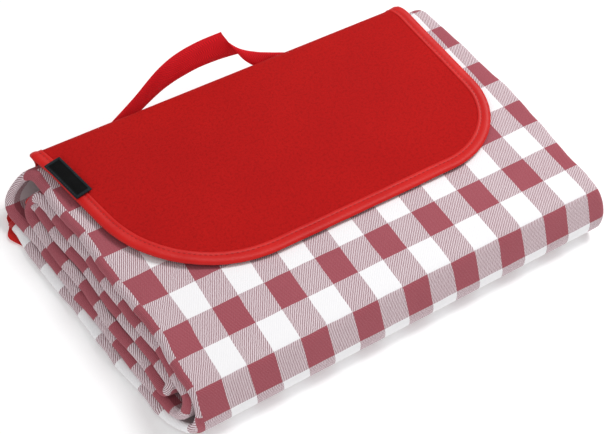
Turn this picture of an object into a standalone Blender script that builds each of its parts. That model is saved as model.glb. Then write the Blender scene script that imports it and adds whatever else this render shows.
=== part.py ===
"""A picnic blanket, pleated and rolled flat, closed by a bound cover flap with a strap handle.

The gingham blanket is a laminate of face cloth, wadding and backing film. It is pleated to a
strip about a third of a metre wide, and the strip is rolled flat into six panels. A bound cover is
sewn to it: a base panel underneath, a spine panel up the back and a flap over the top, which hook
and loop tape holds shut. The strap handle is box-stitched to the spine.

X runs along the folded packet, -Y is its front fold and +Y is the spine. The origin is in the
middle of the base panel's underside.
"""

import math

import bpy
import bmesh
from mathutils import Matrix, Vector

MM = 0.001

# ---- Driving dimensions, in metres -------------------------------------------------------------
GAP = 0.3 * MM  # clearance between pieces that touch on the real blanket

STRIP = 7.3 * MM  # thickness of the pleated strip, six plies of the laminate
PANELS = 6  # panels that the strip is rolled into, one above the other
FRONT_Y = -125 * MM  # outermost cloth of the front fold
BACK_Y = 123.6 * MM  # outermost cloth of the back fold
FRONT_SQUARENESS = 2.9  # exponent of the front fold's rounded-square section, where 2 is round
BACK_SQUARENESS = 2.5
FOLD_STEPS = 8  # facets round each half turn of a fold

FACE_T = 0.9 * MM  # face cloth
BACKING_T = 0.6 * MM  # backing film
HEM_T = 1.5 * MM  # bound side hem
HEM_WIDTH = 10 * MM
END_HEM_DEPTH = 5 * MM
INNER_END = 4 * MM  # the strip's inner end stops this far short of the back fold's centre

RIGHT_X = 176 * MM  # right-hand ends of the panels
LEFT_X = -164.5 * MM  # left-hand end of the top panel at mid depth
LEFT_SKEW = 9.5 * MM  # the left end runs out this much further at the spine, less at the front
LEFT_SLOPE = 29 * MM  # how far the bottom panel sticks out past the top one, at mid depth
LEFT_SLOPE_SKEW = 7 * MM  # and this much more at the spine, less at the front

BASE_T = 0.9 * MM  # the cover's base panel, one layer
BASE_Y = (-68 * MM, 121 * MM)
BASE_FRONT_X = (-166 * MM, 156 * MM)  # its two ends at its front edge
BASE_BACK_X = (-203 * MM, 119 * MM)  # and at the spine, skewed as the packet is

PANEL_T = 0.8 * MM  # the cover's outer cloth
LINING_T = 0.5 * MM
TAPE_T = 0.5 * MM  # binding tape
TAPE_WIDTH = 10 * MM
THREAD = 0.5 * MM
STITCH_INSET = 7.5 * MM  # from the flap's outer edge to the binding's row of stitches

FLAP_CORNERS = (  # x, y and corner radius, anticlockwise from the flap's back left corner
    (-168 * MM, 122.5 * MM, 0),
    (-136 * MM, -46 * MM, 105 * MM),
    (159 * MM, -46 * MM, 65 * MM),
    (157 * MM, 122.5 * MM, 0),
)
CORNER_STEPS = 12

SPINE_TOP_X = (-176 * MM, 156 * MM)  # the spine panel's two ends at its top edge
SPINE_LOW_X = (-204 * MM, 128 * MM)  # and at its bottom edge, skewed as the packet is
SPINE_Z = (2.4 * MM, 44.6 * MM)

FASTENER_PLACE = (0, -22 * MM)  # middle of the hook and loop strips
HOOK_SIZE = (110 * MM, 25 * MM, 0.9 * MM)
LOOP_SIZE = (120 * MM, 30 * MM, 0.8 * MM)

LABEL_PLACE = (-157.6 * MM, 85.5 * MM)
LABEL_SIZE = (13.5 * MM, 41 * MM, 0.7 * MM)
LABEL_TURN = math.radians(13)
LABEL_STITCH_INSET = 1.5 * MM

STRAP_T = 1.6 * MM
STRAP_LEAN = 0.36  # the free strap leans back this far for each unit of height
STRAP_SPLIT_Z = 36 * MM  # the free strap swings above here
STRAP_UPPER_EDGE = (  # x and z in mm along the free strap, from its left root to its right one
    (-116, 36.3), (-109, 40.5), (-92, 48.6), (-80.5, 54.6), (-72, 60.3), (-60, 67.8), (-47, 72.4),
    (-33, 75.1), (-17, 76.6), (-2, 76.6), (11, 57.5), (26.6, 50.3), (49.8, 40.6), (60, 36.3),
)  # fmt: skip
STRAP_LOWER_EDGE = (
    (-92, 36.3), (-85.6, 41), (-72.6, 47), (-59.6, 51.2), (-47, 53.8), (-29.6, 56), (-12, 56.8),
    (1, 54.5), (10, 46), (18, 39.8), (26, 36.3),
)  # fmt: skip
STRAP_ENDS = {  # x and z in mm round each end that is sewn to the spine
    "left": ((-92, 35.7), (-117, 35.7), (-134, 32), (-158, 32), (-158, 8), (-130, 8), (-110, 18)),
    "right": ((60, 35.7), (26, 35.7), (48, 20), (74, 8), (102, 8), (102, 32), (78, 32)),
}
STRAP_STITCH_X = {"left": (-155 * MM, -137 * MM), "right": (81 * MM, 99 * MM)}
STRAP_STITCH_Z = (11 * MM, 29 * MM)

# ---- Worked out from them ----------------------------------------------------------------------
BLANKET_LOW_Z = BASE_T + GAP
BLANKET_HIGH_Z = BLANKET_LOW_Z + PANELS * STRIP
FRONT_RADIUS = PANELS / 2 * STRIP
BACK_RADIUS = (PANELS - 1) / 2 * STRIP
FRONT_CENTRE = Vector((FRONT_Y + FRONT_RADIUS, BLANKET_LOW_Z + 3 * STRIP))
BACK_CENTRE = Vector((BACK_Y - BACK_RADIUS, BLANKET_LOW_Z + 3.5 * STRIP))

LOOP_Z = BLANKET_HIGH_Z + GAP
HOOK_Z = LOOP_Z + LOOP_SIZE[2] + GAP
LINING_Z = HOOK_Z + HOOK_SIZE[2] + GAP
FLAP_Z = LINING_Z + LINING_T + GAP
FLAP_TAPE_Z = (LINING_Z - GAP - TAPE_T, FLAP_Z + PANEL_T + GAP + TAPE_T)
FLAP_STITCH_Z = FLAP_TAPE_Z[1] + GAP
LABEL_Z = FLAP_STITCH_Z + THREAD + GAP

LINING_Y = BACK_Y + GAP
SPINE_Y = LINING_Y + LINING_T + GAP
SPINE_OUTER_Y = SPINE_Y + PANEL_T
SPINE_TAPE_Y = (LINING_Y, SPINE_OUTER_Y + GAP + TAPE_T)
STRAP_Y = SPINE_OUTER_Y + GAP

SPINE_AXIS = Vector((0, SPINE_Y, SPINE_Z[0] - 0.6 * MM))
FLAP_AXIS = Vector((0, SPINE_OUTER_Y, BLANKET_HIGH_Z + 2 * MM))
HANDLE_AXIS = Vector((0, STRAP_Y + STRAP_T + 0.7 * MM, STRAP_SPLIT_Z))

ALONG = Vector((1, 0, 0))
BACKWARDS = Vector((0, 1, 0))
UP = Vector((0, 0, 1))


# ---- Materials and objects ---------------------------------------------------------------------
def material(name, colour, roughness):
    made = bpy.data.materials.new(name)
    made.use_nodes = True
    shader = made.node_tree.nodes["Principled BSDF"]
    shader.inputs["Base Color"].default_value = (*colour, 1)
    shader.inputs["Roughness"].default_value = roughness
    made.diffuse_color = (*colour, 1)
    return made


def pivot(name, place, parent=None):
    """An empty on a joint's axis, which carries the pieces that turn about it."""
    empty = bpy.data.objects.new(name, None)
    bpy.context.scene.collection.objects.link(empty)
    empty.parent = parent
    empty.location = place - (parent.matrix_world.translation if parent else Vector())
    bpy.context.view_layer.update()
    return empty


def piece(name, shape, finish, parent=None):
    """One closed piece from a bmesh in world space, kept relative to its parent's pivot."""
    bmesh.ops.recalc_face_normals(shape, faces=shape.faces)
    if parent:
        bmesh.ops.translate(shape, vec=-parent.matrix_world.translation, verts=shape.verts)
    mesh = bpy.data.meshes.new(name)
    shape.to_mesh(mesh)
    shape.free()
    mesh.shade_smooth()
    mesh.set_sharp_from_angle(angle=math.radians(35))
    mesh.materials.append(finish)
    made = bpy.data.objects.new(name, mesh)
    bpy.context.scene.collection.objects.link(made)
    made.parent = parent


# ---- Shapes ------------------------------------------------------------------------------------
def sweep(rings, closed=False):
    """A tube through rings of equal length, capped at both ends unless it closes on itself."""
    shape = bmesh.new()
    loops = [[shape.verts.new(point) for point in ring] for ring in rings]
    for here, there in zip(loops, loops[1:] + loops[:1] if closed else loops[1:]):
        for j in range(len(here)):
            k = (j + 1) % len(here)
            shape.faces.new((here[j], here[k], there[k], there[j]))
    if not closed:
        shape.faces.new(loops[0])
        shape.faces.new(loops[-1])
    return shape


def slab(outline, thickness):
    """A flat outline given a thickness, as a vector."""
    shape = bmesh.new()
    face = shape.faces.new([shape.verts.new(point) for point in outline])
    grown = bmesh.ops.extrude_face_region(shape, geom=[face])["geom"]
    moved = [item for item in grown if isinstance(item, bmesh.types.BMVert)]
    bmesh.ops.translate(shape, vec=thickness, verts=moved)
    return shape


def block(x, y, z):
    """A block between two limits on each axis."""
    shape = bmesh.new()
    bmesh.ops.create_cube(shape, size=1)
    for vert in shape.verts:
        vert.co = [limits[int(c > 0)] for c, limits in zip(vert.co, (x, y, z))]
    return shape


def flat_block(place, z, size, turn=0.0):
    """A block of a size centred on a place in plan, standing on height z and turned in plan."""
    shape = bmesh.new()
    middle = Vector((*place, z + size[2] / 2))
    matrix = Matrix.Translation(middle) @ Matrix.Rotation(turn, 4, "Z") @ Matrix.Diagonal((*size, 1))
    bmesh.ops.create_cube(shape, size=1, matrix=matrix)
    return shape


def stitch_ring(middle, half_sizes, u_axis, v_axis):
    """One closed row of thread round a rectangle."""
    lift = u_axis.cross(v_axis) * THREAD / 2
    rings = []
    for u, v in ((-1, -1), (1, -1), (1, 1), (-1, 1)):
        inner = middle + u_axis * u * half_sizes[0] + v_axis * v * half_sizes[1]
        outer = inner + (u_axis * u + v_axis * v) * THREAD
        rings.append([inner - lift, outer - lift, outer + lift, inner + lift])
    return sweep(rings, closed=True)


def inwards(path):
    """The mitred inward direction at each point of an anticlockwise path whose ends are level."""
    made = []
    normals = []
    for here, there in zip(path, path[1:]):
        along = (there - here).normalized()
        normals.append(Vector((-along.y, along.x)))
    for before, after in zip(normals, normals[1:]):
        middle = (before + after).normalized()
        made.append(middle / middle.dot(after))
    level = Vector((1, 0))
    return [level / normals[0].x, *made, level / normals[-1].x]


def flap_edge(inset):
    """The flap's outline in plan at an inset from its edge, from back left to back right."""
    path = [Vector(FLAP_CORNERS[0][:2])]
    for before, corner, after in zip(FLAP_CORNERS, FLAP_CORNERS[1:], FLAP_CORNERS[2:]):
        here, radius = Vector(corner[:2]), corner[2]
        back = (Vector(before[:2]) - here).normalized()
        ahead = (Vector(after[:2]) - here).normalized()
        half = back.angle(ahead) / 2
        centre = here + (back + ahead).normalized() * radius / math.sin(half)
        start = here + back * radius / math.tan(half) - centre
        for step in range(CORNER_STEPS + 1):
            turned = Matrix.Rotation((math.pi - 2 * half) * step / CORNER_STEPS, 2) @ start
            path.append(centre + turned)
    path.append(Vector(FLAP_CORNERS[-1][:2]))
    return [point + inward * inset for point, inward in zip(path, inwards(path))]


def tape_section(low, high):
    """Binding tape folded over an edge, as (inset from the edge, height) round its section."""
    return (
        (0, low),
        (TAPE_WIDTH, low),
        (TAPE_WIDTH, low + TAPE_T),
        (TAPE_T, low + TAPE_T),
        (TAPE_T, high - TAPE_T),
        (TAPE_WIDTH, high - TAPE_T),
        (TAPE_WIDTH, high),
        (0, high),
    )


# ---- The rolled blanket ------------------------------------------------------------------------
def fold_point(centre, radius, squareness, angle):
    """A point of a fold's rounded-square section."""
    cos, sin = math.cos(angle), math.sin(angle)
    radius *= (abs(cos) ** squareness + abs(sin) ** squareness) ** (-1 / squareness)
    return centre + Vector((cos, sin)) * radius


def roll(offset):
    """y and z along the rolled strip, at an offset outwards from the strip's middle.

    It runs from the outer end, under the spine, to the inner end in the middle of the packet.
    """
    quarter = math.pi / 2
    path = [Vector((BACK_CENTRE.x, BLANKET_LOW_Z + STRIP / 2 - offset))]
    for turn in range(PANELS // 2):
        radius = (PANELS / 2 - 0.5 - turn) * STRIP + offset
        for step in range(FOLD_STEPS + 1):
            angle = -quarter - step / FOLD_STEPS * math.pi
            path.append(fold_point(FRONT_CENTRE, radius, FRONT_SQUARENESS, angle))
        radius -= STRIP / 2
        if turn == PANELS // 2 - 1:
            path.append(Vector((BACK_CENTRE.x - INNER_END, BACK_CENTRE.y + radius)))
            break
        for step in range(FOLD_STEPS + 1):
            angle = quarter - step / FOLD_STEPS * math.pi
            path.append(fold_point(BACK_CENTRE, radius, BACK_SQUARENESS, angle))
    return path


def left_end(y, z):
    """Where the strip's pleated left end lies: lower panels stick out further."""
    depth = 2 * (y - FRONT_Y) / (BACK_Y - FRONT_Y) - 1
    down = min(max((BLANKET_HIGH_Z - z) / (PANELS * STRIP), 0), 1)
    return LEFT_X - LEFT_SKEW * depth - down * (LEFT_SLOPE + LEFT_SLOPE_SKEW * depth)


def full_length(y, z):
    """The two ends of the pleated strip's outer cloth, which covers its bound side."""
    return left_end(y, z), RIGHT_X


def pleats(y, z):
    """The two ends of the pleats inside it, short of its bound side."""
    return left_end(y, z), RIGHT_X - HEM_WIDTH - GAP


def bound_side(y, z):
    """The two edges of the hem along the strip's right-hand side."""
    return RIGHT_X - HEM_WIDTH, RIGHT_X


def ribbon(inner, outer, ends):
    """A layer of the rolled strip between two offsets."""
    rings = []
    for low, high in zip(roll(inner), roll(outer)):
        x_low, x_high = ends(*low), ends(*high)
        rings.append([(x_low[0], *low), (x_low[1], *low), (x_high[1], *high), (x_high[0], *high)])
    return sweep(rings)


def make_blanket(gingham, foam, film, hem):
    half = (STRIP - GAP) / 2
    piece("face_cloth", ribbon(half - FACE_T, half, full_length), gingham)
    piece("wadding", ribbon(-half + BACKING_T + GAP, half - FACE_T - GAP, pleats), foam)
    piece("backing_film", ribbon(-half, -half + BACKING_T, pleats), film)
    piece("side_hem_first", ribbon(-half, -half + HEM_T, bound_side), hem)
    piece("side_hem_second", ribbon(-HEM_T / 2, HEM_T / 2, bound_side), hem)
    ends = {"outer": (BACK_CENTRE.x, 0), "inner": (BACK_CENTRE.x - INNER_END, PANELS // 2)}
    for name, (end_y, panel) in ends.items():
        y = end_y + GAP
        z = BLANKET_LOW_Z + panel * STRIP + GAP / 2
        x = left_end(y, z) + END_HEM_DEPTH
        shape = block((x, RIGHT_X), (y, y + END_HEM_DEPTH), (z, z + STRIP - GAP))
        piece(f"end_hem_{name}", shape, hem)


# ---- The cover ---------------------------------------------------------------------------------
def base_strip(front_x, back_x):
    """A slab of the base between its front edge and the spine, from its ends' two x values."""
    (front, back) = BASE_Y
    outline = [
        (front_x[0], front, 0),
        (front_x[1], front, 0),
        (back_x[1], back, 0),
        (back_x[0], back, 0),
    ]
    return slab(outline, UP * BASE_T)


def make_base(cloth, binding):
    """The base panel and the flat tape along its front edge and its two ends."""
    piece("base_panel", base_strip(BASE_FRONT_X, BASE_BACK_X), cloth)
    front_y = (BASE_Y[0] - GAP - TAPE_WIDTH, BASE_Y[0] - GAP)
    piece("base_binding_front", block(BASE_FRONT_X, front_y, (0, BASE_T)), binding)
    for name, side, way in (("left", 0, -1), ("right", 1, 1)):
        ends = []
        for x in (BASE_FRONT_X[side], BASE_BACK_X[side]):
            ends.append(sorted((x + way * GAP, x + way * (GAP + TAPE_WIDTH))))
        piece(f"base_binding_{name}", base_strip(*ends), binding)


def spine_outline(inset, y):
    """The skewed spine panel's outline, with its two ends drawn in by an inset."""
    low, high = SPINE_Z
    return [
        (SPINE_LOW_X[0] + inset, y, low),
        (SPINE_LOW_X[1] - inset, y, low),
        (SPINE_TOP_X[1] - inset, y, high),
        (SPINE_TOP_X[0] + inset, y, high),
    ]


def make_spine(cloth, lining, binding, strap, thread, parent):
    shape = slab(spine_outline(TAPE_WIDTH + GAP, LINING_Y), BACKWARDS * LINING_T)
    piece("spine_lining", shape, lining, parent)
    shape = slab(spine_outline(TAPE_T + GAP, SPINE_Y), BACKWARDS * PANEL_T)
    piece("spine_panel", shape, cloth, parent)
    for side, name in enumerate(("left", "right")):
        rings = []
        for z, ends in zip(SPINE_Z, (SPINE_LOW_X, SPINE_TOP_X)):
            way = 1 - 2 * side
            rings.append([(ends[side] + way * d, y, z) for d, y in tape_section(*SPINE_TAPE_Y)])
        piece(f"spine_binding_{name}", sweep(rings), binding, parent)
        outline = [(x * MM, STRAP_Y, z * MM) for x, z in STRAP_ENDS[name]]
        piece(f"strap_end_{name}", slab(outline, BACKWARDS * STRAP_T), strap, parent)
        (x_low, x_high), (z_low, z_high) = STRAP_STITCH_X[name], STRAP_STITCH_Z
        thread_y = STRAP_Y + STRAP_T + GAP + THREAD / 2
        middle = Vector(((x_low + x_high) / 2, thread_y, (z_low + z_high) / 2))
        half_sizes = ((x_high - x_low) / 2, (z_high - z_low) / 2)
        piece(f"strap_stitch_{name}", stitch_ring(middle, half_sizes, ALONG, UP), thread, parent)


def make_handle(strap, parent):
    outline = []
    for x, z in STRAP_UPPER_EDGE + STRAP_LOWER_EDGE[::-1]:
        lean = STRAP_LEAN * (z * MM - STRAP_SPLIT_Z)
        outline.append((x * MM, STRAP_Y + lean, z * MM))
    across = Vector((0, 1, -STRAP_LEAN)).normalized() * STRAP_T
    piece("handle_strap", slab(outline, across), strap, parent)


def make_fastener(name, z, size, finish, thread, parent=None):
    """A strip of hook or loop tape with its row of stitches round it."""
    piece(name, flat_block(FASTENER_PLACE, z, size), finish, parent)
    middle = Vector((*FASTENER_PLACE, z + THREAD / 2))
    half_sizes = (size[0] / 2 + GAP, size[1] / 2 + GAP)
    piece(f"{name}_stitch", stitch_ring(middle, half_sizes, ALONG, BACKWARDS), thread, parent)


def make_flap(cloth, lining, binding, thread, parent):
    for name, z, thickness, finish in (
        ("flap_lining", LINING_Z, LINING_T, lining),
        ("flap_panel", FLAP_Z, PANEL_T, cloth),
    ):
        outline = [(*point, z) for point in flap_edge(TAPE_T + GAP)]
        piece(name, slab(outline, UP * thickness), finish, parent)
    section = [(flap_edge(inset), z) for inset, z in tape_section(*FLAP_TAPE_Z)]
    rings = [[(*edge[i], z) for edge, z in section] for i in range(len(section[0][0]))]
    piece("flap_binding", sweep(rings), binding, parent)
    low, high = FLAP_STITCH_Z, FLAP_STITCH_Z + THREAD
    near, far = flap_edge(STITCH_INSET - THREAD / 2), flap_edge(STITCH_INSET + THREAD / 2)
    rings = [[(*a, low), (*b, low), (*b, high), (*a, high)] for a, b in zip(near, far)]
    piece("flap_binding_stitch", sweep(rings), thread, parent)


def make_label(black, thread, parent):
    piece("label", flat_block(LABEL_PLACE, LABEL_Z, LABEL_SIZE, LABEL_TURN), black, parent)
    middle = Vector((*LABEL_PLACE, LABEL_Z + LABEL_SIZE[2] + GAP + THREAD / 2))
    half_sizes = [side / 2 - LABEL_STITCH_INSET - THREAD for side in LABEL_SIZE[:2]]
    turn = Matrix.Rotation(LABEL_TURN, 3, "Z")
    ring = stitch_ring(middle, half_sizes, turn @ ALONG, turn @ BACKWARDS)
    piece("label_stitch", ring, thread, parent)


# ---- The whole object --------------------------------------------------------------------------
def main():
    for old in list(bpy.data.objects):
        bpy.data.objects.remove(old, do_unlink=True)

    gingham = material("gingham", (0.62, 0.30, 0.33), 0.85)
    foam = material("wadding", (0.86, 0.84, 0.80), 0.95)
    film = material("backing_film", (0.72, 0.73, 0.75), 0.40)
    hem = material("hem_tape", (0.60, 0.05, 0.05), 0.75)
    cloth = material("red_cover_cloth", (0.44, 0.015, 0.015), 0.80)
    lining = material("red_lining", (0.36, 0.02, 0.02), 0.85)
    binding = material("red_binding", (0.63, 0.02, 0.015), 0.55)
    strap = material("red_webbing", (0.55, 0.02, 0.02), 0.70)
    thread = material("red_thread", (0.50, 0.02, 0.02), 0.60)
    fastener = material("hook_and_loop", (0.30, 0.02, 0.02), 0.95)
    black = material("black_label", (0.01, 0.012, 0.015), 0.60)

    spine = pivot("spine_hinge_axis", SPINE_AXIS)
    flap = pivot("flap_hinge_axis", FLAP_AXIS, spine)
    handle = pivot("handle_swing_axis", HANDLE_AXIS, spine)

    make_blanket(gingham, foam, film, hem)
    make_fastener("loop_strip", LOOP_Z, LOOP_SIZE, fastener, thread)
    make_base(cloth, binding)
    make_spine(cloth, lining, binding, strap, thread, spine)
    make_handle(strap, handle)
    make_flap(cloth, lining, binding, thread, flap)
    make_fastener("hook_strip", HOOK_Z, HOOK_SIZE, fastener, thread, flap)
    make_label(black, thread, flap)


main()
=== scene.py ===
"""The looks of a folded picnic blanket, closed by a bound cover flap with a strap handle.

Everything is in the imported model's own frame, in metres: X runs along the folded packet, -Y is its
front fold, +Y is the spine and Z is up. The blanket is one gingham sheet, pleated to a strip of six
plies and rolled flat into six panels. The cover is a bound cloth that runs under the blanket, up
the spine and over the top.
"""

import math

import bmesh
import bpy
import numpy as np
from mathutils import Matrix, Vector
from mathutils.geometry import delaunay_2d_cdt


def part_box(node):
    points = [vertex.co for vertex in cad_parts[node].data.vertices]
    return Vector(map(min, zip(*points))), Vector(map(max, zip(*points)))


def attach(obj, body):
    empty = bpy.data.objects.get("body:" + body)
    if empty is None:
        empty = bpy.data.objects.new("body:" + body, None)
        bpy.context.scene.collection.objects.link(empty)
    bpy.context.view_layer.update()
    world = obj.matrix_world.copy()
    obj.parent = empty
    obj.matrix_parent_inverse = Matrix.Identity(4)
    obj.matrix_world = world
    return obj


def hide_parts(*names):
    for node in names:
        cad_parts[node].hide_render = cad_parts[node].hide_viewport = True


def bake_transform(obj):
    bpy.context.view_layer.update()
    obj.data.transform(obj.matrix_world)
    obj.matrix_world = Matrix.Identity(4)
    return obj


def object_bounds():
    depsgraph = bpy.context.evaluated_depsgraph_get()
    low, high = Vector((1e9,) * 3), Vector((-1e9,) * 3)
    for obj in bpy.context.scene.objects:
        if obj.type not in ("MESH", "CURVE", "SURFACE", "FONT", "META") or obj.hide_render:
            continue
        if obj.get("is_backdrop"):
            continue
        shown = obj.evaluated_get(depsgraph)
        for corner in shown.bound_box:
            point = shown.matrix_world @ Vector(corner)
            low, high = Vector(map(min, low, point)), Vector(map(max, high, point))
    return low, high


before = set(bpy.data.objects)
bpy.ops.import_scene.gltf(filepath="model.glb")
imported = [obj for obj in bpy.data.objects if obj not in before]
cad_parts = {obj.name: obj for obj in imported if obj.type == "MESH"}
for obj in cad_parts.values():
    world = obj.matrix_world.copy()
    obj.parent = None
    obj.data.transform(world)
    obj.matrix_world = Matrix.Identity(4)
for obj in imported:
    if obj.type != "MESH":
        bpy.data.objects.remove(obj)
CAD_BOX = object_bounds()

MM = 0.001

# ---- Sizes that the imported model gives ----
LOW_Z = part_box("base_panel")[1].z + 0.3 * MM
HIGH_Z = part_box("loop_strip")[0].z - 0.3 * MM
PANELS = 6
STRIP = (HIGH_Z - LOW_Z) / PANELS
PLY = STRIP / 6
FRONT_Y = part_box("face_cloth")[0].y
BACK_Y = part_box("face_cloth")[1].y
RIGHT_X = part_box("side_hem_first")[1].x
FRONT_CENTRE = np.array((FRONT_Y + 3 * STRIP, LOW_Z + 3 * STRIP))
BACK_CENTRE = np.array((BACK_Y - 2.5 * STRIP, LOW_Z + 3.5 * STRIP))

# ---- The gingham ----
CHECK_X = 20 * MM
CHECK_Y = 25 * MM
CHECK_ORIGIN = (-116 * MM, -87 * MM)  # a corner of four checks on the top of the packet
WHOLE_CHECKS = 400.0  # an even number of checks, added so that the remainder by two isn't negative
TWILL_PITCH = 1.24 * MM
TWILL_WAY = (0.89, -0.455)  # the twill lines' normal in (u, v)


# ---- Materials ----
class Shader:
    """A material's node tree, with short calls that return output sockets."""

    def __init__(self, name, roughness, sheen=0.0, specular=0.3):
        self.material = bpy.data.materials.new(name)
        self.material.use_nodes = True
        self.tree = self.material.node_tree
        self.shader = self.tree.nodes["Principled BSDF"]
        self.shader.inputs["Roughness"].default_value = roughness
        self.shader.inputs["Specular IOR Level"].default_value = specular
        self.shader.inputs["Sheen Weight"].default_value = sheen
        self.shader.inputs["Sheen Roughness"].default_value = 0.45

    def link(self, source, target):
        if isinstance(source, (int, float)):
            target.default_value = source
        elif isinstance(source, tuple):
            target.default_value = (*source, 1) if len(target.default_value) == 4 else source
        else:
            self.tree.links.new(source, target)

    def node(self, kind, **settings):
        made = self.tree.nodes.new("ShaderNode" + kind)
        for key, value in settings.items():
            setattr(made, key, value)
        return made

    def math(self, operation, *values):
        made = self.node("Math", operation=operation)
        for value, socket in zip(values, made.inputs):
            self.link(value, socket)
        return made.outputs[0]

    def plus(self, first, second):
        return self.math("ADD", first, second)

    def times(self, first, second):
        return self.math("MULTIPLY", first, second)

    def fit(self, value, gain, added):
        return self.math("MULTIPLY_ADD", value, gain, added)

    def mix(self, factor, first, second):
        made = self.node("Mix", data_type="RGBA")
        self.link(factor, made.inputs[0])
        self.link(first, made.inputs[6])
        self.link(second, made.inputs[7])
        return made.outputs[2]

    def step(self, value, low, high):
        """0 below low and 1 above high, with a soft rise between them."""
        made = self.node("MapRange", interpolation_type="SMOOTHSTEP")
        for socket, item in zip(made.inputs, (value, low, high, 0.0, 1.0)):
            self.link(item, socket)
        return made.outputs[0]

    def tint(self, base, colour, value, low, high, share):
        """The base colour with up to this share of another, where value passes from low to high."""
        return self.mix(self.times(self.step(value, low, high), share), base, colour)

    def uv(self):
        """Metres of flat cloth, whole and split."""
        made = self.node("UVMap", uv_map="Cloth")
        split = self.node("SeparateXYZ")
        self.tree.links.new(made.outputs[0], split.inputs[0])
        return made.outputs[0], split.outputs[0], split.outputs[1]

    def place(self):
        """Object coordinates, whole and split."""
        made = self.node("TexCoord")
        split = self.node("SeparateXYZ")
        self.tree.links.new(made.outputs["Object"], split.inputs[0])
        return made.outputs["Object"], split.outputs

    def noise(self, vector, scale, detail=2.0, roughness=0.5):
        made = self.node("TexNoise")
        self.link(vector, made.inputs["Vector"])
        made.inputs["Scale"].default_value = scale
        made.inputs["Detail"].default_value = detail
        made.inputs["Roughness"].default_value = roughness
        return made.outputs["Fac"]

    def wave(self, value, pitch):
        """0 to 1 and back once in each pitch of a length."""
        turns = self.fit(value, math.tau / pitch, 0.0)
        return self.fit(self.math("SINE", turns), 0.5, 0.5)

    def weave(self, u, v, pitch):
        """A plain weave's height, with threads that pass over and under each other."""
        across = self.math("SINE", self.times(u, math.tau / pitch))
        along = self.math("SINE", self.times(v, math.tau / pitch))
        return self.fit(self.times(across, along), 0.5, 0.5)

    def finish(self, colour, height=None, depth=0.1 * MM, strength=1.0, roughness=None):
        """The material, with this colour and, where given, bump height and roughness."""
        self.link(colour, self.shader.inputs["Base Color"])
        if roughness is not None:
            self.link(roughness, self.shader.inputs["Roughness"])
        if height is not None:
            bump = self.node("Bump")
            bump.inputs["Strength"].default_value = strength
            bump.inputs["Distance"].default_value = depth
            self.link(height, bump.inputs["Height"])
            self.tree.links.new(bump.outputs[0], self.shader.inputs["Normal"])
        return self.material


def gingham(name, painted_shade=0.0):
    """Woven checks: white squares where both yarns are white, rose ones where both are red, and a
    red and white twill line where they differ. Shade is painted into the folds, and painted_shade
    darkens it all as painted shade for the hollows at the pleats' left end."""
    s = Shader(name, roughness=0.86, sheen=0.12, specular=0.2)
    whole, u, v = s.uv()
    wander = s.fit(s.noise(whole, 55, 2), 0.0012, -0.0006)
    u_in = s.plus(u, wander)
    v_in = s.plus(v, wander)

    def band(value, size):
        """1 in every second check along this axis, with an edge one thread soft."""
        turned = s.math("MODULO", s.fit(value, 1 / size, WHOLE_CHECKS), 2.0)
        falling = s.step(turned, 0.985, 1.015)
        rising = s.step(turned, 1.985, 2.0)
        return s.math("MAXIMUM", s.math("SUBTRACT", 1.0, falling), rising)

    warp = band(u_in, CHECK_X)
    weft = band(v_in, CHECK_Y)
    both = s.times(warp, weft)
    either = s.math("SUBTRACT", s.plus(warp, weft), both)
    only_one = s.math("SUBTRACT", either, both)

    diagonal = s.fit(u, TWILL_WAY[0], s.times(v, TWILL_WAY[1]))
    jitter = s.fit(s.noise(whole, 600, 1), 0.0006, -0.0003)
    line = s.wave(s.plus(diagonal, jitter), TWILL_PITCH)
    beads = s.wave(s.plus(u, v), 1.0 * MM)
    grain = s.noise(whole, 1500, 2, 0.7)
    blotch = s.noise(whole, 24, 3)

    line_cut = s.step(line, 0.40, 0.74)
    broken = s.times(line_cut, s.fit(beads, 0.26, 0.74))
    pale = s.mix(blotch, (0.80, 0.66, 0.70), (0.87, 0.78, 0.81))
    deep = s.mix(grain, (0.17, 0.040, 0.055), (0.33, 0.13, 0.16))
    striped = s.mix(broken, pale, deep)

    rose = s.mix(blotch, (0.34, 0.056, 0.078), (0.41, 0.082, 0.108))
    pick = s.wave(s.fit(u, 0.18, v), 1.05 * MM)
    rose_line = s.tint(rose, (0.58, 0.26, 0.30), pick, 0.35, 0.95, 0.42)
    rose_grain = s.tint(rose_line, (0.20, 0.030, 0.042), grain, 0.40, 0.72, 0.45)
    white = s.mix(s.times(line_cut, 0.08), (0.985, 0.975, 0.99), (0.74, 0.71, 0.75))
    colour = s.mix(only_one, s.mix(both, white, rose_grain), striped)

    # Painted shade: the colour darkens towards deep red-brown where ambient occlusion finds the folds
    # close in, standing in for the shade in the creases
    hollow = s.node("AmbientOcclusion", samples=6)
    hollow.inputs["Distance"].default_value = 9 * MM
    open_share = s.step(hollow.outputs["AO"], 0.10, 0.62)
    crease_shade = s.mix(0.72, colour, (0.085, 0.010, 0.016))
    # painted_shade blends the whole cloth towards deep red-brown: painted shade for the hollows at the
    # pleats' left end
    colour = s.mix(open_share, crease_shade, s.mix(painted_shade, colour, (0.15, 0.022, 0.032)))

    threads = s.weave(u, v, 0.9 * MM)
    height = s.plus(s.times(threads, 0.35), s.times(line, 0.65))
    height = s.plus(height, s.times(grain, 0.35))
    return s.finish(colour, height, depth=0.16 * MM, strength=0.8)


def film():
    """The blanket's silvery moisture barrier: a quilted plastic film."""
    s = Shader("backing_film", roughness=0.38, specular=0.5)
    whole, u, v = s.uv()
    crinkle = s.noise(whole, 90, 5, 0.62)
    quilt = s.times(s.wave(u, 9 * MM), s.wave(v, 9 * MM))
    colour = s.mix(crinkle, (0.50, 0.51, 0.53), (0.70, 0.71, 0.73))
    height = s.plus(s.times(quilt, 0.5), crinkle)
    rough = s.fit(crinkle, 0.25, 0.25)
    return s.finish(colour, height, depth=0.5 * MM, strength=0.7, roughness=rough)


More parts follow.
